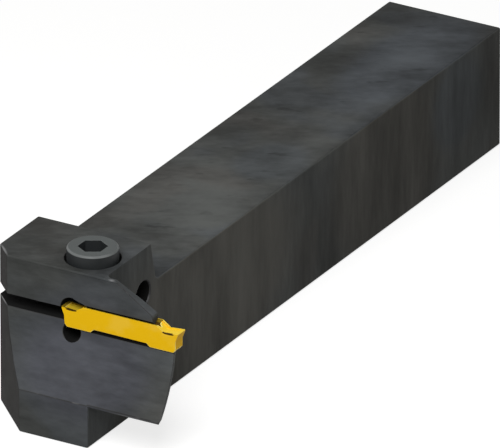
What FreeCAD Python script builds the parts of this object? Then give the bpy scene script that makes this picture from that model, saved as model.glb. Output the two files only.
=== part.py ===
import FreeCAD, Part
import math
import os
from FreeCAD import Vector

# Face grooving tool holder with a clamped double-ended insert, in millimetres.
# X points the way the tool plunges, Y along the shank to its rear end, Z up.
# The origin is the centre of the shank's base face.

# Shank
SHANK_W = 25.0
SHANK_H = 25.0
TOOL_L = 158.5
EDGE_R = 0.45

# Raised head on the front of the shank
HEAD_RISE = 8.0
HEAD_L = 24.0
HEAD_BACK_DEG = 13.0
HEAD_FOOT_R = 1.2
CORNER_CUT = 10.0

# Curved wall that follows the inner side of the groove
FACE_SETBACK = 6.2
GROOVE_R = 24.0

# Blade and jaw that reach past the side of the shank
BLADE_T = 2.1
BLADE_REACH = 15.5
BLADE_END_DEG = 21.0
BLADE_LAND = 0.15
BLADE_DROP = 0.3
ROOT_R = 1.2
JAW_FLAT = 2.3
JAW_SLOPE_DEG = 33.4
JAW_REACH = 10.6
JAW_TIP_R = 0.9

# Cutting insert
INS_L = 25.5
INS_W = 3.0
INS_OVERHANG = 1.0
INS_PROUD = 0.7
EDGE_HEIGHT = 0.35
INS_TOP_RISE = 0.9
INS_FOOT_DROP = 4.05
RAKE_DIP = 0.25
RAKE_R = 0.7
RAKE_L = 3.15
WALL_L = 4.9
WALL_R = 0.25
RELIEF_IN = 0.6
RELIEF_H = 1.55
CHAMFER_IN = 1.15
CHAMFER_H = 0.65
FOOT_L = 6.3
FOOT_STEP = 0.7
FOOT_RAMP = 0.75
INS_TAPER = 0.2
TOP_LAND = 0.1
TOP_HOLLOW = 0.4
TOP_FALL_DEG = 32.0
NOSE_R = 0.35
DISH_START = 0.7
DISH_LAND = 0.35
DISH_DEPTH = 0.22

# V rails in the pocket and V grooves in the insert
RAIL_W = 1.5
RAIL_H = 0.8
RAIL_FLAT = 0.2
FIT = 0.03

# Insert pocket
SEAT_CLEAR = 0.1
CLAMP_CLEAR = 0.1
BACK_CLEAR = 0.05
STOP_CLEAR = 0.05
LOBE_DEPTH = 1.1
LOW_LOBE_R = 1.95
LOW_LOBE_IN = 2.2
LOW_LOBE_DROP = 0.8
TOP_LOBE_R = 2.3
TOP_LOBE_IN = 1.8
TOP_LOBE_DROP = 0.45
TOP_LOBE_RUN = 3.2

# Slit that lets the jaw spring
SLIT_W = 2.4
SLIT_DROP = 0.1
SLIT_HOLE_BACK = 3.1
SLIT_HOLE_R = 2.65

# Clamp screw, a cap screw with a hexagon socket
SCREW_D = 6.0
SCREW_X = 6.5
SCREW_BEHIND = 4.7
SCREW_LEN = 20.0
CAP_D = 10.0
CAP_H = 6.0
CAP_CHAMFER = 0.35
CAP_PROUD = 2.4
SOCKET_AF = 5.0
SOCKET_DEPTH = 3.0
SCREW_TIP = 0.8
BORE_CLEAR = 0.45
HOLE_CLEAR = 0.3
THREAD_CLEAR = 0.05
TAP_EXTRA = 2.0

# Places that follow from the sizes above
SIDE = SHANK_W / 2
FRONT = -TOOL_L / 2
REAR = TOOL_L / 2
FACE_Y = FRONT + FACE_SETBACK
ARC_Y = FACE_Y - GROOVE_R
CENTRE_Z = SHANK_H
HEAD_TOP = SHANK_H + HEAD_RISE
HEAD_LEAN = HEAD_RISE * math.tan(math.radians(HEAD_BACK_DEG))
RUNOUT_Z = CENTRE_Z - math.sqrt(GROOVE_R ** 2 - (GROOVE_R - FACE_SETBACK) ** 2)
BACK_R = GROOVE_R + BLADE_T
EDGE_Z = CENTRE_Z + EDGE_HEIGHT
BLADE_END = SIDE + BLADE_REACH
INS_X1 = BLADE_END + INS_OVERHANG
INS_X0 = INS_X1 - INS_L
INS_Y0 = FACE_Y - INS_PROUD
INS_Y1 = INS_Y0 + INS_W
INS_MID = (INS_Y0 + INS_Y1) / 2
INS_TOP = EDGE_Z + INS_TOP_RISE
INS_FOOT = EDGE_Z - INS_FOOT_DROP
SEAT_Z = INS_FOOT - SEAT_CLEAR
CLAMP_Z = INS_TOP + CLAMP_CLEAR
SLIT_TOP = CENTRE_Z - SLIT_DROP
SLIT_LOW = SLIT_TOP - SLIT_W
AXIS_X = SIDE - SCREW_X
AXIS_Y = INS_Y1 + SCREW_BEHIND
BEARING_Z = HEAD_TOP + CAP_PROUD - CAP_H
BORE_R = CAP_D / 2 + BORE_CLEAR
SCREW_R = SCREW_D / 2
PAST = 1.0


def outline(points, plane, at):
    """Flat face through 2D points, at a constant x, y or z. A third number rounds a corner."""
    place = {"yz": lambda p, q: Vector(at, p, q),
             "xz": lambda p, q: Vector(p, at, q),
             "xy": lambda p, q: Vector(p, q, at)}[plane]
    corners = [place(p[0], p[1]) for p in points]
    rounds = [p[2] if len(p) > 2 else 0 for p in points]
    count = len(corners)
    arcs = [corner_arc(corners[i - 1], corners[i], corners[(i + 1) % count], rounds[i]) for i in range(count)]
    edges = []
    for i, arc in enumerate(arcs):
        if rounds[i]:
            edges.append(Part.Arc(*arc).toShape())
        edges.append(Part.makeLine(arc[2], arcs[(i + 1) % count][0]))
    return Part.Face(Part.Wire(edges))


def corner_arc(before, corner, after, radius):
    """Start, middle and end of the arc that rounds a corner of an outline."""
    into = (before - corner).normalize()
    out = (after - corner).normalize()
    half = into.getAngle(out) / 2
    reach = radius / math.tan(half)
    middle = corner + (into + out).normalize() * (radius / math.sin(half) - radius)
    return corner + into * reach, middle, corner + out * reach


def prism(points, plane, start, end):
    """Straight solid over a flat outline, from start to end along its normal."""
    step = {"yz": Vector(end - start, 0, 0),
            "xz": Vector(0, end - start, 0),
            "xy": Vector(0, 0, end - start)}[plane]
    return outline(points, plane, start).extrude(step)


def cylinder(radius, start, direction, length):
    return Part.makeCylinder(radius, length, start, direction)


def turned_about_work(half):
    """Solid round the work's centre line, from (x, radius) points; it closes away from the tool."""
    face = outline([(x, ARC_Y - r) for x, r in half], "xy", CENTRE_Z)
    return face.revolve(Vector(0, ARC_Y, CENTRE_Z), Vector(1, 0, 0), 360)


def groove_core(radius):
    """Round bar on the work's centre line, longer than the tool is wide."""
    ends = (-SIDE - PAST, BLADE_END + PAST)
    return turned_about_work([(ends[0], 0), (ends[1], 0), (ends[1], radius), (ends[0], radius)])


def near(a, b):
    return abs(a - b) < 1e-4


def edges_on(solid, tests):
    """Edges whose two ends and middle all pass one of the tests on a point."""
    found = []
    for edge in solid.Edges:
        if edge.Length < 1e-4:
            continue
        first, last = edge.ParameterRange
        points = [edge.valueAt(t) for t in (first, (first + last) / 2, last)]
        if any(all(test(p) for p in points) for test in tests):
            found.append(edge)
    return found


def bar():
    """Shank and head in one piece, hollowed in front, with one front corner cut off."""
    side_view = [(FRONT, 0),
                 (REAR, 0),
                 (REAR, SHANK_H),
                 (FRONT + HEAD_L + HEAD_LEAN, SHANK_H, HEAD_FOOT_R),
                 (FRONT + HEAD_L, HEAD_TOP),
                 (FACE_Y, HEAD_TOP, EDGE_R),
                 (FACE_Y, CENTRE_Z),
                 (FRONT, CENTRE_Z)]
    solid = prism(side_view, "yz", -SIDE, SIDE).cut(groove_core(GROOVE_R))
    corner = [(-SIDE - PAST, FRONT - PAST),
              (-SIDE + CORNER_CUT + PAST, FRONT - PAST),
              (-SIDE - PAST, FRONT + CORNER_CUT + PAST)]
    return solid.cut(prism(corner, "xy", -PAST, HEAD_TOP + PAST))


def arms():
    """Blade and jaw before the pocket parts them: a thin wall curved to follow the groove."""
    start = SIDE - ROOT_R
    low = RUNOUT_Z - BLADE_DROP
    fall = math.tan(math.radians(JAW_SLOPE_DEG))
    front_view = [(start, low),
                  (BLADE_END, low),
                  (BLADE_END, CENTRE_Z),
                  (SIDE + JAW_REACH, CENTRE_Z),
                  (SIDE + JAW_REACH, HEAD_TOP - (JAW_REACH - JAW_FLAT) * fall, JAW_TIP_R),
                  (SIDE + JAW_FLAT, HEAD_TOP),
                  (start, HEAD_TOP)]
    side_view = [(FRONT + BLADE_LAND, low - PAST),
                 (FRONT + HEAD_L, low - PAST),
                 (FRONT + HEAD_L, HEAD_TOP),
                 (FACE_Y, HEAD_TOP, EDGE_R),
                 (FACE_Y, CENTRE_Z),
                 (FRONT + BLADE_LAND, CENTRE_Z)]
    wall = prism(front_view, "xz", FRONT, FRONT + HEAD_L)
    wall = wall.common(prism(side_view, "yz", start, BLADE_END)).common(groove_core(BACK_R))
    lean = (BLADE_T + PAST) * math.tan(math.radians(BLADE_END_DEG))
    end_relief = [(BLADE_END, GROOVE_R),
                  (BLADE_END - lean, BACK_R + PAST),
                  (BLADE_END + PAST, BACK_R + PAST),
                  (BLADE_END + PAST, GROOVE_R)]
    return wall.cut(groove_core(GROOVE_R)).cut(turned_about_work(end_relief))


def root_round(solid):
    """Milled round where the back of the blade and jaw meets the side of the bar."""
    root = edges_on(solid, [lambda p: near(p.x, SIDE)
                            and near(math.hypot(p.y - ARC_Y, p.z - CENTRE_Z), BACK_R)])
    return solid.makeFillet(ROOT_R, root)


def ease_edges(solid):
    """Small rounds along the bar, round its rear end and round the cut corner."""
    behind = FRONT + HEAD_L - 1e-4
    tests = [lambda p: near(p.x, -SIDE),
             lambda p: near(p.x + SIDE + p.y - FRONT, CORNER_CUT),
             lambda p: near(p.y, REAR),
             lambda p: near(p.y, FRONT) and (near(p.x, SIDE) or near(p.z, 0)),
             lambda p: near(p.x, SIDE) and (p.y > behind or near(p.z, 0))]
    return solid.makeFillet(EDGE_R, edges_on(solid, tests))


def rail_points(foot_z, way):
    """V rail across the pocket, standing on foot_z and pointing up (1) or down (-1)."""
    return [(INS_MID - RAIL_W / 2, foot_z),
            (INS_MID - RAIL_FLAT / 2, foot_z + way * RAIL_H),
            (INS_MID + RAIL_FLAT / 2, foot_z + way * RAIL_H),
            (INS_MID + RAIL_W / 2, foot_z)]


def pocket_section(back):
    """Cross-section of the pocket, open to the front, with a rail below and above."""
    front = FRONT - PAST
    low = [(front, SEAT_Z)] + rail_points(SEAT_Z, 1) + [(back, SEAT_Z)]
    top = [(back, CLAMP_Z)] + rail_points(CLAMP_Z, -1)[::-1] + [(front, CLAMP_Z)]
    return low + top


def insert_pocket():
    """Slot for the insert: backed by the head, open behind between blade and jaw."""
    stop = INS_X0 + RELIEF_IN - STOP_CLEAR
    inner = prism(pocket_section(INS_Y1 + BACK_CLEAR), "yz", stop, SIDE + PAST)
    outer = prism(pocket_section(ARC_Y + BACK_R + ROOT_R + PAST), "yz", SIDE, BLADE_END + PAST)
    return inner.fuse(outer)


def end_lobes():
    """Two reliefs round the insert's inner end, drilled from the front."""
    start = FRONT - PAST
    depth = INS_Y1 + LOBE_DEPTH - start
    along = Vector(0, 1, 0)
    low = Vector(INS_X0 + LOW_LOBE_IN, start, SEAT_Z - LOW_LOBE_DROP)
    top = Vector(INS_X0 + TOP_LOBE_IN, start, EDGE_Z - TOP_LOBE_DROP)
    drop = CLAMP_Z - top.z
    swing = math.atan2(drop, TOP_LOBE_RUN) + math.acos(TOP_LOBE_R / math.hypot(TOP_LOBE_RUN, drop))
    ramp = [(top.x, top.z),
            (top.x + TOP_LOBE_RUN, top.z),
            (top.x + TOP_LOBE_RUN, CLAMP_Z),
            (top.x + TOP_LOBE_R * math.cos(swing), top.z + TOP_LOBE_R * math.sin(swing))]
    lobes = cylinder(LOW_LOBE_R, low, along, depth).fuse(cylinder(TOP_LOBE_R, top, along, depth))
    return lobes.fuse(prism(ramp, "xz", start, start + depth))


def jaw_slit():
    """Slit from the front to a cross hole, so that the upper jaw can spring."""
    mid = (SLIT_LOW + SLIT_TOP) / 2
    hole_y = FRONT + HEAD_L - SLIT_HOLE_BACK
    slit = [(FRONT - PAST, SLIT_LOW), (hole_y, SLIT_LOW), (hole_y, SLIT_TOP), (FRONT - PAST, SLIT_TOP)]
    hole = cylinder(SLIT_HOLE_R, Vector(-SIDE - PAST, hole_y, mid), Vector(1, 0, 0), SHANK_W + 2 * PAST)
    return prism(slit, "yz", -SIDE - PAST, SIDE + PAST).fuse(hole)


def screw_bore():
    """Counterbore, clearance hole through the jaw and tapped hole with a drill point."""
    tip = BEARING_Z - SCREW_LEN - TAP_EXTRA
    tap_r = SCREW_R + THREAD_CLEAR
    point = tap_r / math.tan(math.radians(59))
    half = [(0, tip - point), (tap_r, tip), (tap_r, SLIT_LOW), (SCREW_R + HOLE_CLEAR, SLIT_LOW),
            (SCREW_R + HOLE_CLEAR, BEARING_Z), (BORE_R, BEARING_Z),
            (BORE_R, HEAD_TOP + PAST), (0, HEAD_TOP + PAST)]
    return turned(half)


def turned(half):
    """Solid of revolution about the clamp screw's axis, from (radius, z) points."""
    face = outline([(AXIS_X + r, z) for r, z in half], "xz", AXIS_Y)
    return face.revolve(Vector(AXIS_X, AXIS_Y, 0), Vector(0, 0, 1), 360)


def holder_body():
    body = root_round(bar().fuse(arms()).removeSplitter())
    body = ease_edges(body)
    body = body.cut(jaw_slit()).cut(insert_pocket()).cut(end_lobes())
    return body.cut(screw_bore()).removeSplitter()


def insert_end(x, way):
    """Side view of one cutting end, from the top of its chip wall down to its foot."""
    points = [(WALL_L, INS_TOP, WALL_R),
              (RAKE_L, EDGE_Z - RAKE_DIP, RAKE_R),
              (0, EDGE_Z, 0),
              (RELIEF_IN, EDGE_Z - RELIEF_H, 0),
              (RELIEF_IN, INS_FOOT + CHAMFER_H, 0),
              (CHAMFER_IN, INS_FOOT, 0),
              (FOOT_L, INS_FOOT, 0),
              (FOOT_L + FOOT_RAMP, INS_FOOT + FOOT_STEP, FOOT_RAMP / 2)]
    return [(x + way * d, z, r) for d, z, r in points]


def chip_dish(x, way):
    """Shallow dish in the rake face, inside a narrow land on three sides."""
    fall = RAKE_DIP / RAKE_L
    climb = (INS_TOP - EDGE_Z + RAKE_DIP) / (WALL_L - RAKE_L)
    far = DISH_DEPTH / climb
    points = [(DISH_START, EDGE_Z - DISH_START * fall, 0),
              (DISH_START + DISH_DEPTH, EDGE_Z - DISH_START * fall - DISH_DEPTH, DISH_DEPTH),
              (RAKE_L + far, EDGE_Z - RAKE_DIP - DISH_DEPTH, RAKE_R),
              (WALL_L + far - DISH_DEPTH, INS_TOP - DISH_DEPTH - DISH_DEPTH * climb / 2, 0),
              (WALL_L - DISH_DEPTH, INS_TOP + PAST, 0),
              (DISH_START, INS_TOP + PAST, 0)]
    side = [(x + way * d, z, r) for d, z, r in points]
    return prism(side, "xz", INS_Y0 + DISH_LAND, INS_Y1 - DISH_LAND)


def rail_groove(foot_z, way):
    """Tool for the insert's V groove, clear of the rail all round by the fit."""
    slope = math.atan2(RAIL_H, (RAIL_W - RAIL_FLAT) / 2)
    lift = way * FIT / math.cos(slope)
    points = [(y, z + lift) for y, z in rail_points(foot_z, way)]
    away = foot_z - way * PAST
    return prism([(points[0][0], away)] + points + [(points[3][0], away)], "yz",
                 INS_X0 - PAST, INS_X1 + PAST)


def top_hollow():
    """Tool for the hollow between the insert's two upper edges, down to the V groove."""
    run = TOP_LAND + TOP_HOLLOW / math.tan(math.radians(TOP_FALL_DEG))
    points = [(INS_Y0 + TOP_LAND, INS_TOP + PAST),
              (INS_Y0 + TOP_LAND, INS_TOP),
              (INS_Y0 + run, INS_TOP - TOP_HOLLOW),
              (INS_Y1 - run, INS_TOP - TOP_HOLLOW),
              (INS_Y1 - TOP_LAND, INS_TOP),
              (INS_Y1 - TOP_LAND, INS_TOP + PAST)]
    return prism(points, "yz", INS_X0 - PAST, INS_X1 + PAST)


def cutting_insert():
    """Side view, cross-section and plan of the insert meet in one solid."""
    side = insert_end(INS_X1, -1) + insert_end(INS_X0, 1)[::-1]
    solid = prism(side, "xz", INS_Y0, INS_Y1)
    section = [(INS_Y0, INS_TOP), (INS_Y1, INS_TOP),
               (INS_Y1 - INS_TAPER, INS_FOOT), (INS_Y0 + INS_TAPER, INS_FOOT)]
    solid = solid.common(prism(section, "yz", INS_X0, INS_X1))
    plan = Part.makeBox(INS_L, INS_W, INS_TOP - INS_FOOT, Vector(INS_X0, INS_Y0, INS_FOOT))
    plan = plan.makeFillet(NOSE_R, [e for e in plan.Edges if near(e.Length, INS_TOP - INS_FOOT)])
    solid = solid.common(plan)
    solid = solid.cut(rail_groove(SEAT_Z, 1)).cut(rail_groove(CLAMP_Z, -1)).cut(top_hollow())
    return solid.cut(chip_dish(INS_X0, 1)).cut(chip_dish(INS_X1, -1)).removeSplitter()


def clamp_screw():
    """Cap screw: chamfered head, plain core where the thread runs, hexagon socket."""
    top = BEARING_Z + CAP_H
    tip = BEARING_Z - SCREW_LEN
    cap_r = CAP_D / 2
    half = [(0, tip), (SCREW_R - SCREW_TIP, tip), (SCREW_R, tip + SCREW_TIP),
            (SCREW_R, BEARING_Z), (cap_r, BEARING_Z),
            (cap_r, top - CAP_CHAMFER), (cap_r - CAP_CHAMFER, top), (0, top)]
    corner = SOCKET_AF / math.sqrt(3)
    turns = [math.radians(30 + 60 * k) for k in range(6)]
    hexagon = [(AXIS_X + corner * math.cos(a), AXIS_Y + corner * math.sin(a)) for a in turns]
    socket = prism(hexagon, "xy", top - SOCKET_DEPTH, top + PAST)
    flat_r = SOCKET_AF / 2
    drill = [(0, top - SOCKET_DEPTH - flat_r / math.tan(math.radians(59))),
             (flat_r, top - SOCKET_DEPTH), (0, top - SOCKET_DEPTH)]
    return turned(half).cut(socket).cut(turned(drill))


os.makedirs("parts", exist_ok=True)
for name, shape in (("holder_body", holder_body()),
                    ("cutting_insert", cutting_insert()),
                    ("clamp_screw", clamp_screw())):
    shape.exportStep("parts/" + name + ".step")
    print(name, shape.isValid(), len(shape.Solids), round(shape.Volume, 2))
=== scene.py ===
import math

import bmesh
import bpy
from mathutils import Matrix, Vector
from mathutils.bvhtree import BVHTree


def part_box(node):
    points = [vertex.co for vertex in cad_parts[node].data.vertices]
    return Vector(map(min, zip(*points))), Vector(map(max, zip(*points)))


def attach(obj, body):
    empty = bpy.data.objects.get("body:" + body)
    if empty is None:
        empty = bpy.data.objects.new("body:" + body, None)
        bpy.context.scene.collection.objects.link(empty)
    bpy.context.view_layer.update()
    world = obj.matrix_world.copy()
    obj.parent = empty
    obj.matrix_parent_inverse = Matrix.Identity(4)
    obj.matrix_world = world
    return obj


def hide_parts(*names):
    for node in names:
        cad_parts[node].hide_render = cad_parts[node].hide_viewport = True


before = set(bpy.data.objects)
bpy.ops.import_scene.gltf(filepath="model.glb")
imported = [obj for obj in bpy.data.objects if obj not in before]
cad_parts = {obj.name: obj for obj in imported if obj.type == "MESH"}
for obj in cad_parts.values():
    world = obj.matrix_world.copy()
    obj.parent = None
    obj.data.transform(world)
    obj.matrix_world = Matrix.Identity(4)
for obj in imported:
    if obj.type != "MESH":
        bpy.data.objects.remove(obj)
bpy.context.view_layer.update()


# Holder body. One bar of tool steel with its head, curved blade and spring jaw milled from the solid.
# It is hardened and then blackened in a bath, which leaves a thin oxide in cloudy, streaked patches.
# Its sharp edges are only broken with a stone, and a few edges wear through to bare metal. Four corners carry
# painted highlights of bare steel.
MM = 0.001
HOLDER_EDGE = 0.12 * MM
HOLE_RIM = 0.30 * MM
HOLE_REACH = 3.1 * MM
CROSS_HOLE = Vector((0, -58.35, 23.7)) * MM

# Limits for meshes: points that are one, faces that are flat, and edges that are sharp, folded or smooth.
WELD = 1e-6
FLAT = math.radians(0.3)
SHARP = math.radians(24)
FOLDED = math.radians(135)
SMOOTH = math.radians(40)
EDGE_TRIES = 12

# Rays that feel whether something stands before an edge or a face start a little off it.
EDGE_LIFT = 0.02 * MM
FACE_LIFT = 0.01 * MM
RECESS_REACH = 9 * MM
RECESS_RAYS = 24

# Grain of the oxide's clouds in metres: it lies on the front, slants on the top and stands on the sides.
FRONT_GRAIN = (0.026, 0.010, 0.009)
TOP_GRAIN = (0.017, 0.009, 0.011)
TOP_SLANT = 28
SIDE_GRAIN = (0.011, 0.008, 0.040)
DRIFT_GRAIN = (0.040, 0.035, 0.040)
TINT_GRAIN = (0.026, 0.020, 0.024)
RUB_GRAIN = (0.004, 0.004, 0.004)

# Bounds between which a face's direction comes to count as along an axis, or out of the 45 degree cut.
FACING = (0.75, 0.85)
FACING_CUT = (1.30, 1.38)

# What the oxide's shade is made of, from 0 for dark to 1 for light.
CLOUD_SHARE = 0.46
STREAK_SHARE = 0.22
DRIFT_SHARE = 0.32
DAB_DEPTH = 0.10
# Painted shade: the 45 degree cut face and the top faces are made darker.
CUT_SHADE_DEPTH = 0.42
TOP_SHADE_DEPTH = 0.05

# Patches where the oxide is painted paler, or darker with a minus: centre and half size in mm, and the
# amount. They are partly the oxide's own clouds and partly painted light and shade: paler near the head and
# darker towards the rear where the lamp's light falls off, a darker front of the head above the slit, and
# pale patches near the top's right edge as a painted sheen.
OXIDE_AND_LIGHT_FIELDS = (
    ((-2, -16, 25), (22, 26, 20), 0.21),
    ((6, -24, 25), (10, 18, 6), 0.15),
    ((0, -42, 25), (11, 6, 6), 0.09),
    ((-9, -9, 25), (7, 8, 6), -0.06),
    ((0, 10, 25), (10, 8, 6), 0.08),
    ((9, 16, 25), (7, 20, 6), 0.10),
    ((8.5, 37, 25), (8, 10, 6), 0.08),
    ((-6, 48, 25), (12, 22, 6), -0.13),
    ((7.5, 51, 25), (7, 6, 6), -0.10),
    ((3, 61, 25), (12, 8, 6), 0.08),
    ((-1, 64, 25), (22, 26, 20), 0.10),
    ((-8, 71, 25), (12, 12, 6), -0.11),
    ((12.5, -34, 13), (10, 44, 24), 0.05),
    ((12.5, -44, 8), (5, 12, 16), -0.05),
    ((12.5, 32, 14), (5, 34, 30), -0.10),
    ((2, -74, 18), (15, 8, 12), 0.03),
    ((24, -77, 12), (12, 8, 16), -0.07),
    ((-4, -73, 30), (16, 3, 6), -0.05),
    ((17, -73, 29), (6, 3, 6), -0.07),
)

# Colours of the oxide and of the steel under it. The hues multiply the oxide's grey.
OXIDE_DARK = (0.026, 0.026, 0.026, 1)
OXIDE_LIGHT = (0.100, 0.101, 0.103, 1)
# Painted shade: the near black given to faces shut in by the holder and the insert.
RECESS_SHADE = (0.006, 0.006, 0.006, 1)
# Bare steel, for edges that wear through and for the painted highlights at a few corners.
BARE_STEEL_AND_GLINT = (0.36, 0.36, 0.37, 1)
HUE_BLUE = (0.92, 1.01, 1.10, 1)
HUE_BROWN = (1.02, 1.01, 0.94, 1)
HUE_COOL = (0.95, 0.99, 1.13, 1)
HUE_GREEN = (0.98, 1.02, 0.97, 1)
HUE_TEAL = (0.94, 1.02, 1.05, 1)
HUE_WARM = (1.04, 1.01, 0.90, 1)
# Painted shade: the 45 degree cut face is made darker still.
HUE_CUT_SHADE = (0.56, 0.53, 0.50, 1)
# Painted shade: the narrow faces of the broken edges are made darker.
HUE_EDGE_SHADE = (0.68, 0.68, 0.68, 1)

# Where the oxide has one hue, on the sides and on all other faces: centre and half size in mm, and the hue.
# The blue patch on the rear of the top is a painted sheen.
SIDE_TINTS = (
    ((12.5, -34, 13), (10, 50, 26), HUE_WARM),
    ((12.5, 34, 12), (10, 32, 28), HUE_WARM),
    ((12.5, 62, 16), (10, 14, 14), HUE_TEAL),
)
OTHER_TINTS = (
    ((5, -22, 25), (12, 14, 6), HUE_GREEN),
    ((5, 3, 25), (10, 13, 6), HUE_TEAL),
    # Painted sheen: a bluish patch on the rear of the top.
    ((5, 56, 25), (15, 36, 6), HUE_BLUE),
    ((10, -77, 18), (22, 8, 20), HUE_COOL),
)

# Corners with a painted highlight of bare steel: place, half length, turn in degrees about the upright, and
# amount.
JAW_CORNER = Vector((14.1, -72.95, 33.0)) * MM
CUT_CORNER_TOP = Vector((-10.5, -71.20, 33.0)) * MM
SLIT_MOUTH = Vector((-10.5, -71.20, 22.5)) * MM
BLADE_FOOT = Vector((22.0, -79.15, 8.6)) * MM
GLINT_CORNERS = (
    (JAW_CORNER, 1.0 * MM, 0, 0.45),
    (CUT_CORNER_TOP, 3.6 * MM, -45, 0.7),
    (SLIT_MOUTH, 3.2 * MM, -45, 0.6),
    (BLADE_FOOT, 7.0 * MM, 0, 0.3),
)
GLINT_WIDTH = 0.45 * MM


def work_on(piece):
    """Selects one piece alone, as the next operators act on all that is selected."""
    bpy.ops.object.select_all(action="DESELECT")
    piece.select_set(True)
    bpy.context.view_layer.objects.active = piece


def packed_copy(node, name):
    """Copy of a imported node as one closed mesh, to be finished and shown in its place."""
    piece = bpy.data.objects.new(name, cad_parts[node].data.copy())
    bpy.context.scene.collection.objects.link(piece)
    work_on(piece)
    bpy.ops.mesh.customdata_custom_splitnormals_clear()
    bpy.ops.object.mode_set(mode="EDIT")
    bpy.ops.mesh.select_all(action="SELECT")
    bpy.ops.mesh.remove_doubles(threshold=WELD)
    bpy.ops.mesh.dissolve_limited(angle_limit=FLAT)
    bpy.ops.object.mode_set(mode="OBJECT")
    piece.data.materials.clear()
    return piece


def rounded(piece, ease, numbers):
    """Rounds the numbered edges and marks the narrow new faces; tells where they fold over."""
    work_on(piece)
    bpy.ops.object.mode_set(mode="EDIT")
    bpy.ops.mesh.select_mode(type="EDGE")
    bpy.ops.mesh.select_all(action="DESELECT")
    mesh = bmesh.from_edit_mesh(piece.data)
    mesh.edges.ensure_lookup_table()
    for number in numbers:
        mesh.edges[number].select_set(True)
    bmesh.update_edit_mesh(piece.data)
    bpy.ops.mesh.bevel(offset=ease, segments=2, affect="EDGES", clamp_overlap=False)
    mesh = bmesh.from_edit_mesh(piece.data)
    mark = mesh.faces.layers.float.get("edge") or mesh.faces.layers.float.new("edge")
    for face in mesh.faces:
        if face.select and face.calc_area() < ease * face.calc_perimeter():
            face[mark] = 1.0
    folded = [line for line in mesh.edges if line.calc_face_angle() > FOLDED]
    folds = [end.co.copy() for line in folded for end in line.verts]
    bpy.ops.object.mode_set(mode="OBJECT")
    return folds


def break_edges(piece, ease, reached=lambda spot: True):
    """Rounds the sharp outer edges that a stone reaches.

    At a tight corner where the rounding folds over, the shortest edge is left sharp, and all of them
    are rounded again.
    """
    plain = piece.data
    whole = bmesh.new()
    whole.from_mesh(plain)
    tree = BVHTree.FromBMesh(whole)
    chosen = {}
    for line in whole.edges:
        spot = (line.verts[0].co + line.verts[1].co) / 2
        out = (line.link_faces[0].normal + line.link_faces[1].normal).normalized()
        free = tree.ray_cast(spot + out * EDGE_LIFT, out, RECESS_REACH)[0] is None
        if line.is_convex and line.calc_face_angle() > SHARP and free and reached(spot):
            chosen[line.index] = [end.co.copy() for end in line.verts]
    whole.free()
    for attempt in range(EDGE_TRIES):
        piece.data = plain.copy()
        folds = rounded(piece, ease, chosen)
        for fold in folds:
            near = [number for number, ends in chosen.items()
                    if min((end - fold).length for end in ends) < 2 * ease]
            if near:
                del chosen[min(near, key=lambda number: (chosen[number][0] - chosen[number][1]).length)]
        if not folds:
            break
    bpy.data.meshes.remove(plain)


def even_shading(piece):
    """Shades flat faces flat and round ones smooth, up to the narrow faces of the broken edges."""
    work_on(piece)
    bpy.ops.object.shade_smooth_by_angle(angle=SMOOTH)
    weigh = piece.modifiers.new("even_normals", "WEIGHTED_NORMAL")
    weigh.keep_sharp = True
    bpy.ops.object.modifier_apply(modifier=weigh.name)


def mark_recesses(piece, others, reach):
    """Marks with 'recess' how shut in each face is: the share of rays that meet a piece within reach."""
    corners, faces = [], []
    for solid in [piece.data] + [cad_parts[other].data for other in others]:
        first = len(corners)
        corners += [corner.co for corner in solid.vertices]
        faces += [[first + number for number in face.vertices] for face in solid.polygons]
    tree = BVHTree.FromPolygons(corners, faces)
    golden = 3 - math.sqrt(5)
    fan = []
    for turn in range(RECESS_RAYS):
        height = math.sqrt(1 - (turn + 0.5) / RECESS_RAYS)
        around = turn * math.pi * golden
        side = math.sqrt(1 - height * height)
        fan.append(Vector((side * math.cos(around), side * math.sin(around), height)))
    shares = []
    for face in piece.data.polygons:
        lean = face.normal.to_track_quat("Z", "Y")
        start = face.center + face.normal * FACE_LIFT
        met = sum(tree.ray_cast(start, lean @ ray, reach)[0] is not None for ray in fan)
        shares.append(met / RECESS_RAYS)
    piece.data.attributes.new("recess", "FLOAT", "FACE").data.foreach_set("value", shares)


class Wire:
    """One output of a shader node; arithmetic on it adds Math nodes."""

    def __init__(self, finish, socket):
        self.finish = finish
        self.socket = socket

    def maths(self, operation, *values):
        return self.finish.node("ShaderNodeMath", {"operation": operation}, dict(enumerate(values)))

    def __add__(self, other):
        return self.maths("ADD", self, other)

    def __sub__(self, other):
        return self.maths("SUBTRACT", self, other)

    def __rsub__(self, other):
        return self.maths("SUBTRACT", other, self)

    def __mul__(self, other):
        return self.maths("MULTIPLY", self, other)

    def __abs__(self):
        return self.maths("ABSOLUTE", self)

    __radd__ = __add__
    __rmul__ = __mul__


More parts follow.
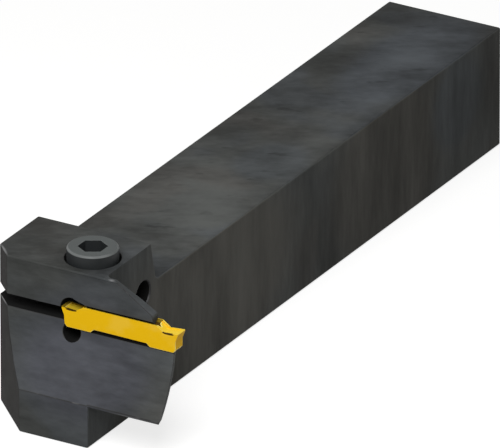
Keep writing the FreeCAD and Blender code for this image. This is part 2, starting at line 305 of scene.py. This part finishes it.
class Finish:
    """A material, or the room, and the node tree that is written for it."""

    def __init__(self, owner):
        owner.use_nodes = True
        self.owner = owner
        self.tree = owner.node_tree
        self.tree.nodes.clear()

    def node(self, kind, settings, inputs, output=0):
        """Adds one node: its settings first, then a value or a wire for each named or numbered input."""
        made = self.tree.nodes.new(kind)
        for key, value in settings.items():
            setattr(made, key, value)
        for key, value in inputs.items():
            if isinstance(value, Wire):
                self.tree.links.new(value.socket, made.inputs[key])
            else:
                made.inputs[key].default_value = value
        return Wire(self, made.outputs[output]) if made.outputs else None

    def spot(self):
        """The place on the piece."""
        return self.node("ShaderNodeTexCoord", {}, {}, "Object")

    def facing(self, axis):
        """How far the surface faces along an axis of the piece, from -1 to 1."""
        direction = self.node("ShaderNodeTexCoord", {}, {}, "Normal")
        return self.node("ShaderNodeSeparateXYZ", {}, {"Vector": direction}, axis)

    def grain(self, place, size, turn=0.0, centre=(0, 0, 0)):
        """Coordinates from a centre that run in steps of size metres, after a turn in degrees about Z."""
        return self.node("ShaderNodeMapping", {"vector_type": "TEXTURE"},
                         {"Vector": place, "Scale": size, "Rotation": (0, 0, math.radians(turn)),
                          "Location": centre})

    def noise(self, place, scale=1.0, detail=2.0, roughness=0.5):
        return self.node("ShaderNodeTexNoise", {},
                         {"Vector": place, "Scale": scale, "Detail": detail, "Roughness": roughness}, "Fac")

    def step(self, value, low, high):
        """Goes softly from 0 to 1 while value goes from low to high."""
        return self.node("ShaderNodeMapRange", {"interpolation_type": "SMOOTHSTEP"},
                         {"Value": value, "From Min": low, "From Max": high})

    def colour(self, share, first, second, how="MIX"):
        return self.node("ShaderNodeMix", {"data_type": "RGBA", "blend_type": how},
                         {0: share, 6: first, 7: second}, 2)

    def place(self, share, first, second):
        return self.node("ShaderNodeMix", {"data_type": "VECTOR"}, {0: share, 4: first, 5: second}, 1)

    def mark(self, name):
        """A value that the mesh carries on each face."""
        return self.node("ShaderNodeAttribute", {"attribute_name": name}, {}, "Fac")

    def patch(self, spot, centre, size, turn=0.0):
        """1 at a place on the piece, falling softly to 0 at the edge of a turned oval of that half size."""
        away = self.node("ShaderNodeVectorMath", {"operation": "LENGTH"},
                         {0: self.grain(spot, size, turn, centre)}, "Value")
        return 1 - self.step(away, 0.0, 1.0)

    def bump(self, height, distance, strength):
        return self.node("ShaderNodeBump", {}, {"Height": height, "Distance": distance, "Strength": strength})

    def surface(self, inputs):
        shader = self.node("ShaderNodeBsdfPrincipled", {}, inputs)
        self.node("ShaderNodeOutputMaterial", {}, {"Surface": shader})
        return self.owner


def blackened_steel():
    """Grey oxide in clouds and streaks with painted light and shade, then its hues, painted shade in the
    recesses, bare steel where edges wear, and painted highlights at a few corners.
    """
    finish = Finish(bpy.data.materials.new("blackened_steel"))
    spot = finish.spot()
    on_top = finish.step(abs(finish.facing("Z")), *FACING)
    on_side = finish.step(abs(finish.facing("X")), *FACING)
    on_cut = finish.step(-1 * finish.facing("X") - finish.facing("Y"), *FACING_CUT)

    lying = finish.grain(spot, FRONT_GRAIN)
    slanted = finish.grain(spot, TOP_GRAIN, TOP_SLANT)
    upright = finish.grain(spot, SIDE_GRAIN)
    pattern = finish.place(on_side, finish.place(on_top, lying, slanted), upright)
    clouds = finish.noise(pattern, detail=4.0, roughness=0.6)
    streaks = finish.noise(pattern, scale=5.0, detail=4.0, roughness=0.65)
    dabs = finish.step(finish.noise(pattern, scale=3.2), 0.62, 0.76) * on_top
    drift = finish.noise(finish.grain(spot, DRIFT_GRAIN), detail=1.0)
    shade = clouds * CLOUD_SHARE + streaks * STREAK_SHARE + drift * DRIFT_SHARE
    # Painted shade: the cut face and the top faces are made darker here.
    shade = shade - dabs * DAB_DEPTH - on_cut * CUT_SHADE_DEPTH - on_top * TOP_SHADE_DEPTH
    # Painted light and shade, together with the oxide's own paler and darker patches.
    for centre, size, amount in OXIDE_AND_LIGHT_FIELDS:
        shade = shade + amount * finish.patch(spot, Vector(centre) * MM, Vector(size) * MM)
    oxide = finish.colour(finish.step(shade, 0.30, 0.74), OXIDE_DARK, OXIDE_LIGHT)

    tint = finish.noise(finish.grain(spot, TINT_GRAIN))
    hue = finish.colour(finish.step(tint, 0.38, 0.50), HUE_BROWN, HUE_GREEN)
    hue = finish.colour(finish.step(tint, 0.50, 0.62) * (0.6 - 0.4 * on_side), hue, HUE_BLUE)
    for faces, tints in ((1 - on_side, OTHER_TINTS), (on_side, SIDE_TINTS)):
        for centre, size, tone in tints:
            here = finish.step(finish.patch(spot, Vector(centre) * MM, Vector(size) * MM), 0.0, 0.5)
            hue = finish.colour(here * faces, hue, tone)
    # Painted shade on the 45 degree cut face.
    hue = finish.colour(on_cut, hue, HUE_CUT_SHADE)
    # Painted shade on the broken edges.
    hue = finish.colour(finish.mark("edge"), hue, HUE_EDGE_SHADE)
    oxide = finish.colour(1.0, oxide, hue, "MULTIPLY")

    # Painted shade: faces shut in by the holder and the insert are made near black.
    recess_shade = finish.step(finish.mark("recess"), 0.30, 0.55)
    oxide = finish.colour(recess_shade, oxide, RECESS_SHADE)
    rubs = finish.step(finish.noise(finish.grain(spot, RUB_GRAIN)), 0.60, 0.75) * 0.2
    # Painted highlights: four corners are given bare, metallic steel.
    glints = sum(amount * finish.patch(spot, corner, (length, GLINT_WIDTH, GLINT_WIDTH), turn)
               for corner, length, turn, amount in GLINT_CORNERS)
    rubbed_and_glints = (1 - recess_shade) * (finish.mark("edge") * rubs + glints)
    return finish.surface({
        "Base Color": finish.colour(rubbed_and_glints, oxide, BARE_STEEL_AND_GLINT),
        "Roughness": 0.78 - 0.22 * clouds + 0.10 * streaks + 0.25 * recess_shade,
        "Metallic": rubbed_and_glints,
        "Specular IOR Level": 0.10,
        "Normal": finish.bump(finish.noise(pattern, scale=30.0), distance=0.03 * MM, strength=0.35)})


half_width = -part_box("holder_body")[0].x


def on_hole_rim(spot):
    """True on the rims where the slit's cross hole comes out of both sides."""
    return abs(abs(spot.x) - half_width) < HOLE_RIM and (spot.yz - CROSS_HOLE.yz).length < HOLE_REACH


holder = packed_copy("holder_body", "holder_stoned")
break_edges(holder, HOLE_RIM, on_hole_rim)
break_edges(holder, HOLDER_EDGE, lambda spot: not on_hole_rim(spot))
even_shading(holder)
mark_recesses(holder, ["cutting_insert"], RECESS_REACH)
holder.data.materials.append(blackened_steel())
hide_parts("holder_body")
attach(holder, "holder")


# Cutting insert. A pressed and sintered carbide bar with a cutting edge at each end.
# It is ground on its sides, its edges are honed, and it carries a thin yellow hard coating.
# The dished chip breaker behind each edge is given a painted shade where its groove lies in shadow.
INSERT_EDGE = 0.11 * MM
SHADE_REACH = 4.0 * MM
COAT = (0.88, 0.52, 0.005, 1)
COAT_RAKE = (0.80, 0.60, 0.040, 1)
# Painted shade for the end faces.
COAT_END_SHADE = (0.86, 0.49, 0.003, 1)
# Pale yellow, for the coating's paler clouds and for the painted highlight on the honed edges.
COAT_PALE_AND_HIGHLIGHT = (0.93, 0.76, 0.22, 1)
# Painted shade for the chip breaker's groove and for faces shut in by the holder.
COAT_SHADE = (0.060, 0.032, 0.003, 1)
CLOUD_GRAIN = (0.004, 0.004, 0.004)
GRIT_GRAIN = (0.00025, 0.00025, 0.00025)

# The painted shade at each chip breaker's groove: in from the insert's end, in from its front and down from
# its top.
GROOVE_SHADE_BACK = 2.2 * MM
GROOVE_SHADE_IN = 0.15 * MM
GROOVE_SHADE_DOWN = 1.15 * MM
GROOVE_SHADE_SIZE = Vector((2.0, 0.6, 0.35)) * MM


def hard_coating():
    """Yellow coating, greener on the rake faces, with painted shade on the ends, in each chip breaker's
    groove and on shut in faces, and painted highlights on the honed edges.
    """
    finish = Finish(bpy.data.materials.new("insert_coating"))
    spot = finish.spot()
    cloud = finish.noise(finish.grain(spot, CLOUD_GRAIN), detail=3.0)
    grit = finish.noise(finish.grain(spot, GRIT_GRAIN))
    coat = finish.colour(finish.step(cloud, 0.4, 0.62) * 0.12, COAT, COAT_PALE_AND_HIGHLIGHT)
    coat = finish.colour(finish.step(finish.facing("Z"), 0.3, 0.6) * 0.7, coat, COAT_RAKE)
    # Painted shade: the end faces are made a darker, deeper yellow.
    coat = finish.colour(finish.step(abs(finish.facing("X")), 0.5, 0.8), coat, COAT_END_SHADE)
    # Painted highlight: the honed edges are made pale.
    coat = finish.colour(finish.mark("edge") * 0.9, coat, COAT_PALE_AND_HIGHLIGHT)
    low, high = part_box("cutting_insert")
    # Painted shade along each chip breaker's groove.
    groove_shade = sum(finish.patch(spot, (along, low.y + GROOVE_SHADE_IN, high.z - GROOVE_SHADE_DOWN), GROOVE_SHADE_SIZE)
                 for along in (low.x + GROOVE_SHADE_BACK, high.x - GROOVE_SHADE_BACK))
    groove_shade = finish.step(groove_shade + 0.3 * cloud, 0.36, 0.50)
    # Painted shade: faces shut in by the holder are made dark.
    shut_in_shade = finish.step(finish.mark("recess"), 0.62, 0.85)
    return finish.surface({
        "Base Color": finish.colour(shut_in_shade.maths("MAXIMUM", shut_in_shade, groove_shade), coat, COAT_SHADE),
        "Roughness": 0.45 + 0.15 * cloud,
        "Metallic": 0.15,
        "Specular IOR Level": 0.05,
        "Normal": finish.bump(grit, distance=0.01 * MM, strength=0.15)})


insert = packed_copy("cutting_insert", "insert_honed")
break_edges(insert, INSERT_EDGE)
even_shading(insert)
mark_recesses(insert, ["holder_body"], SHADE_REACH)
insert.data.materials.append(hard_coating())
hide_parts("cutting_insert")
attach(insert, "insert")


# Clamp screw. A cold headed cap screw with a hexagon socket and a rolled thread.
# It is black oxidised; its top is coloured a shade lighter than its side, and its chamfer carries a painted
# highlight.
SCREW_EDGE = 0.06 * MM
CAP_HEIGHT = 6.0 * MM
CAP_CHAMFER = 0.35 * MM
SOCKET_WIDTH = 5.0 * MM
SOCKET_DEPTH = 3.0 * MM
THREAD_CREST = 2.98 * MM
THREAD_ROOT = 2.39 * MM
PITCH = 1.0 * MM
TIP_CHAMFER = 0.8 * MM
TIP_SPARE = 0.3 * MM
SPARE_TURNS = 3
THREAD_SIDES = 48
BAR_SIDES = 96
CUT_SNAP = 1e-7
SCREW_TOP = (0.058, 0.066, 0.065, 1)
SCREW_SIDE = (0.019, 0.021, 0.022, 1)
# Painted highlight for the chamfer.
SCREW_HIGHLIGHT = (0.22, 0.23, 0.23, 1)
SCREW_GRAIN = (0.003, 0.003, 0.003)


def screw_steel():
    """Dark sides and socket, a lighter top, and a painted highlight on the chamfer that is brightest towards
    the front.
    """
    finish = Finish(bpy.data.materials.new("screw_steel"))
    spot = finish.spot()
    upward = finish.facing("Z")
    cloud = finish.noise(finish.grain(spot, SCREW_GRAIN), detail=3.0)
    open_up = 1 - finish.step(finish.mark("recess"), 0.45, 0.60)
    top_faces = finish.step(upward, 0.20, 0.30) * open_up
    frontward = finish.step(finish.facing("Y"), 0.1, -0.5)
    # Painted highlight on the chamfer, brightest towards the front where the lamp is.
    rim = top_faces * (1 - finish.step(upward, 0.90, 0.97)) * (0.5 + 0.5 * frontward)
    grey = finish.colour(top_faces, SCREW_SIDE, SCREW_TOP)
    grey = finish.colour(rim * 0.5, grey, SCREW_HIGHLIGHT)
    return finish.surface({
        "Base Color": finish.colour(finish.step(cloud, 0.3, 0.7) * 0.25, grey, SCREW_SIDE),
        "Roughness": 0.60 - 0.2 * cloud,
        "Specular IOR Level": 0.2,
        "Normal": finish.bump(finish.noise(spot, scale=4000.0), distance=0.01 * MM, strength=0.3)})


def cut_with(piece, tool, how):
    """Joins, cuts or meets a piece with a tool, which is used up."""
    change = piece.modifiers.new("cut", "BOOLEAN")
    change.operation = how
    change.object = tool
    change.solver = "MANIFOLD"
    work_on(piece)
    bpy.ops.object.modifier_apply(modifier=change.name)
    bpy.data.objects.remove(tool)


def round_bar(name, radius, low, high, sides=BAR_SIDES):
    """Plain bar on the screw's axis between two heights."""
    bpy.ops.object.select_all(action="DESELECT")
    bpy.ops.mesh.primitive_cylinder_add(vertices=sides, radius=radius, depth=high - low,
                                        location=(screw_axis.x, screw_axis.y, (low + high) / 2))
    bar = bpy.context.active_object
    bar.name = name
    bpy.ops.object.transform_apply(location=True)
    return bar


def chamfer_rim(bar, height, width):
    """Chamfers the rim of a bar that lies at one height."""
    work_on(bar)
    bpy.ops.object.mode_set(mode="EDIT")
    bpy.ops.mesh.select_mode(type="EDGE")
    bpy.ops.mesh.select_all(action="DESELECT")
    mesh = bmesh.from_edit_mesh(bar.data)
    for line in mesh.edges:
        line.select_set(all(abs(end.co.z - height) < WELD for end in line.verts))
    bmesh.update_edit_mesh(bar.data)
    bpy.ops.mesh.bevel(offset=width, segments=1, affect="EDGES", clamp_overlap=True)
    bpy.ops.object.mode_set(mode="OBJECT")


def rolled_thread(low, high):
    """Right-hand thread: one vertex extruded into a tooth, carried up the axis by a Screw modifier."""
    bpy.ops.object.select_all(action="DESELECT")
    bpy.ops.mesh.primitive_plane_add(size=PITCH, location=(screw_axis.x, screw_axis.y, low - PITCH))
    thread = bpy.context.active_object
    bpy.ops.object.mode_set(mode="EDIT")
    bpy.ops.mesh.select_mode(type="VERT")
    bpy.ops.mesh.merge(type="CENTER")
    bpy.ops.transform.translate(value=(THREAD_ROOT, 0, 0))
    tooth = THREAD_CREST - THREAD_ROOT
    # Root, flank, crest and flank, each so many sixteenths of the pitch high.
    for out, sixteenths in ((0, 4), (tooth, 5), (0, 2), (-tooth, 5)):
        move = {"value": (out, 0, sixteenths * PITCH / 16)}
        bpy.ops.mesh.extrude_region_move(TRANSFORM_OT_translate=move)
    bpy.ops.object.mode_set(mode="OBJECT")
    turns = thread.modifiers.new("turns", "SCREW")
    turns.axis = "Z"
    turns.screw_offset = PITCH
    turns.iterations = math.ceil((high - low) / PITCH) + SPARE_TURNS
    turns.steps = THREAD_SIDES
    turns.render_steps = THREAD_SIDES
    turns.use_merge_vertices = True
    bpy.ops.object.modifier_apply(modifier=turns.name)
    bpy.ops.object.transform_apply(location=True)
    bpy.ops.object.mode_set(mode="EDIT")
    for height, side in ((low, "clear_inner"), (high, "clear_outer")):
        bpy.ops.mesh.select_all(action="SELECT")
        bpy.ops.mesh.bisect(plane_co=(0, 0, height), plane_no=(0, 0, 1), use_fill=True,
                            threshold=CUT_SNAP, **{side: True})
    bpy.ops.mesh.select_all(action="SELECT")
    bpy.ops.mesh.remove_doubles(threshold=WELD)
    bpy.ops.mesh.normals_make_consistent(inside=False)
    bpy.ops.object.mode_set(mode="OBJECT")
    return thread


screw_low, screw_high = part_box("clamp_screw")
screw_axis = (screw_low + screw_high) / 2
cap_radius = (screw_high.x - screw_low.x) / 2
under_cap = screw_high.z - CAP_HEIGHT
socket_radius = SOCKET_WIDTH / math.sqrt(3)
socket_low = screw_high.z - SOCKET_DEPTH
screw = round_bar("screw_turned", cap_radius, under_cap, screw_high.z)
chamfer_rim(screw, screw_high.z, CAP_CHAMFER)
socket = round_bar("socket", socket_radius, socket_low, screw_high.z + PITCH, sides=6)
cut_with(screw, socket, "DIFFERENCE")
thread = rolled_thread(screw_low.z, under_cap + PITCH)
blank = round_bar("blank", THREAD_CREST + TIP_SPARE, screw_low.z, under_cap + 2 * PITCH)
chamfer_rim(blank, screw_low.z, TIP_CHAMFER + TIP_SPARE)
cut_with(thread, blank, "INTERSECT")
cut_with(screw, thread, "UNION")
break_edges(screw, SCREW_EDGE, lambda spot: spot.z > under_cap + PITCH)
even_shading(screw)
mark_recesses(screw, [], SOCKET_WIDTH)
screw.data.materials.clear()
screw.data.materials.append(screw_steel())
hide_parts("clamp_screw")
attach(screw, "screw")


# Studio. A white floor that keeps the tool's soft shadow, and a pale room round it.
# The floor and the room look white to the camera and in reflections, and light the tool as grey.
FLOOR_SIDE = 3.0
FLOOR_GAP = 0.05 * MM
FLOOR_GREY = (0.25, 0.25, 0.25, 1)
FLOOR_WHITE = (0.40, 0.40, 0.40, 1)
FLOOR_LIFT = 0.75
ROOM_GREY = (0.27, 0.265, 0.255, 1)
WHITE = (1, 1, 1, 1)


def seen_directly(finish):
    """1 for rays that come from the camera, a reflection or a clear body, and 0 for soft bounces."""
    camera_ray, glossy_ray, clear_ray = [
        finish.node("ShaderNodeLightPath", {}, {}, ray)
        for ray in ("Is Camera Ray", "Is Glossy Ray", "Is Transmission Ray")]
    return camera_ray.maths("MAXIMUM", camera_ray, glossy_ray.maths("MAXIMUM", glossy_ray, clear_ray))


def floor_paint():
    """Plain grey to soft bounces, and a white that shadows still darken to rays that see it directly."""
    finish = Finish(bpy.data.materials.new("studio_floor"))
    grey = finish.node("ShaderNodeBsdfDiffuse", {}, {"Color": FLOOR_GREY})
    white = finish.node("ShaderNodeBsdfDiffuse", {}, {"Color": FLOOR_WHITE})
    lift = finish.node("ShaderNodeEmission", {}, {"Strength": FLOOR_LIFT})
    bright = finish.node("ShaderNodeAddShader", {}, {0: white, 1: lift})
    both = finish.node("ShaderNodeMixShader", {}, {0: seen_directly(finish), 1: grey, 2: bright})
    finish.node("ShaderNodeOutputMaterial", {}, {"Surface": both})
    return finish.owner


bpy.ops.object.select_all(action="DESELECT")
bpy.ops.mesh.primitive_plane_add(size=FLOOR_SIDE, location=(0, 0, -FLOOR_GAP))
floor = bpy.context.active_object
floor.name = "floor"
floor.data.materials.append(floor_paint())

room = bpy.data.worlds.new("room")
bpy.context.scene.world = room
sky = Finish(room)
dim = sky.node("ShaderNodeBackground", {}, {"Color": ROOM_GREY})
plain = sky.node("ShaderNodeBackground", {}, {"Color": WHITE})
both = sky.node("ShaderNodeMixShader", {}, {0: seen_directly(sky), 1: dim, 2: plain})
sky.node("ShaderNodeOutputWorld", {}, {"Surface": both})


# Lamp. One soft box hangs near the front of the tool, so that its light falls off to the rear.
# Its power is what makes a white card at the aim show this share of full white.
LAMP_AIM = Vector((0.005, -0.045, 0.015))
LAMP_TOWARDS = Vector((0.16, -0.62, 0.77)).normalized()
LAMP_DISTANCE = 0.45
LAMP_SIDE = 0.28
CARD_WHITE = 0.95
lamp = bpy.data.objects.new("key_lamp", bpy.data.lights.new("key_lamp", "AREA"))
bpy.context.scene.collection.objects.link(lamp)
lamp.data.shape = "SQUARE"
lamp.data.size = LAMP_SIDE
lamp.data.energy = CARD_WHITE * (math.pi * LAMP_DISTANCE) ** 2
lamp.location = LAMP_AIM + LAMP_TOWARDS * LAMP_DISTANCE
lamp.rotation_euler = LAMP_TOWARDS.to_track_quat("Z", "Y").to_euler()
lamp.visible_camera = False


# Camera. A very long lens from far off, because the tool is pictured without perspective.
# It looks down on the tool from the front right, at the pictured angle. With a longer lens, the other
# views would stand so far off that the floor's far side or the tool itself is cut away.
VIEW_AZIMUTH = math.radians(30.02)
VIEW_ELEVATION = math.radians(24.97)
VIEW_CENTRE = Vector((1.93, 0.17, 12.30)) * MM
VIEW_DISTANCE = 3.9358
LENS = 1480.0
NEAREST = 1.0
FARTHEST = 10.0
level = math.cos(VIEW_ELEVATION)
to_camera = Vector((math.sin(VIEW_AZIMUTH) * level, -math.cos(VIEW_AZIMUTH) * level,
                    math.sin(VIEW_ELEVATION)))
camera = bpy.data.objects.new("camera", bpy.data.cameras.new("camera"))
bpy.context.scene.collection.objects.link(camera)
camera.data.lens = LENS
camera.data.clip_start = NEAREST
camera.data.clip_end = FARTHEST
camera.location = VIEW_CENTRE + to_camera * VIEW_DISTANCE
camera.rotation_euler = to_camera.to_track_quat("Z", "Y").to_euler()
bpy.context.scene.camera = camera
bpy.context.scene.view_settings.view_transform = "Standard"
